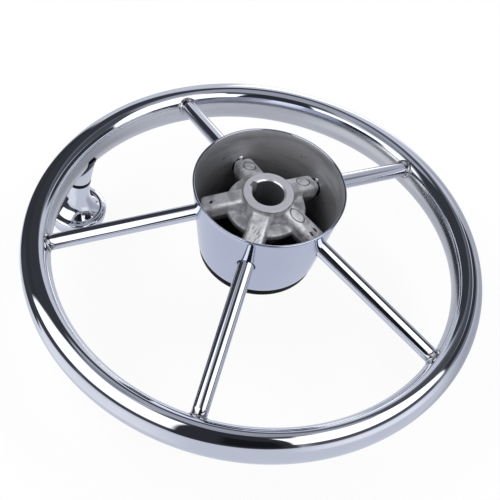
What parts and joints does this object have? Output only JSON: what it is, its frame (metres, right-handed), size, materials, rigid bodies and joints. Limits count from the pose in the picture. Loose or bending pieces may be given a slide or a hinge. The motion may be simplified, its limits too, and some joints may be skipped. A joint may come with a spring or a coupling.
{
  "type": "steering wheel",
  "caption": "Dished stainless boat steering wheel with spokes on a tapered hub and a turning knob on the rim.",
  "frame": {"origin": "centre of the tapered bore's mouth, on the rear face of the hub casting", "axes": "+Z along the helm shaft's axis towards the helm, +X over the first spoke; the keyway and the knob lie on -X"},
  "size_m": [0.2889, 0.28, 0.1316],
  "materials": {
    "polished_steel": "mirror-polished stainless steel",
    "weld_steel": "ground and buffed weld bead",
    "cast_metal": "raw casting",
    "shell_steel": "polished outside, satin inside",
    "black_plastic": "moulded, fine texture",
    "knob_steel": "mirror-polished stainless steel",
    "plain_steel": "machined",
    "black_washer": "moulded",
    "bush_bronze": "sintered"
  },
  "bodies": {
    "wheel": {"rim": "polished_steel", "spoke_1": "polished_steel", "spoke_2": "polished_steel", "spoke_3": "polished_steel", "spoke_4": "polished_steel", "spoke_5": "polished_steel", "rim_welds": "weld_steel", "hub_casting": "cast_metal", "hub_shell": "shell_steel", "centre_cap": "black_plastic", "knob_insert": "plain_steel", "knob_saddle": "knob_steel", "knob_spindle": "plain_steel", "knob_washer": "black_washer", "knob_retainer": "plain_steel", "knob_screw": "plain_steel"},
    "knob": {"knob_body": "knob_steel", "knob_bush_upper": "bush_bronze", "knob_bush_lower": "bush_bronze", "knob_end_cap": "knob_steel"}
  },
  "joints": [
    {"name": "knob_spin", "type": "hinge", "parent": "wheel", "child": "knob", "pos_m": [-0.13025, 0, -0.10542], "axis": [0, 0, 1], "continuous": true}
  ]
}
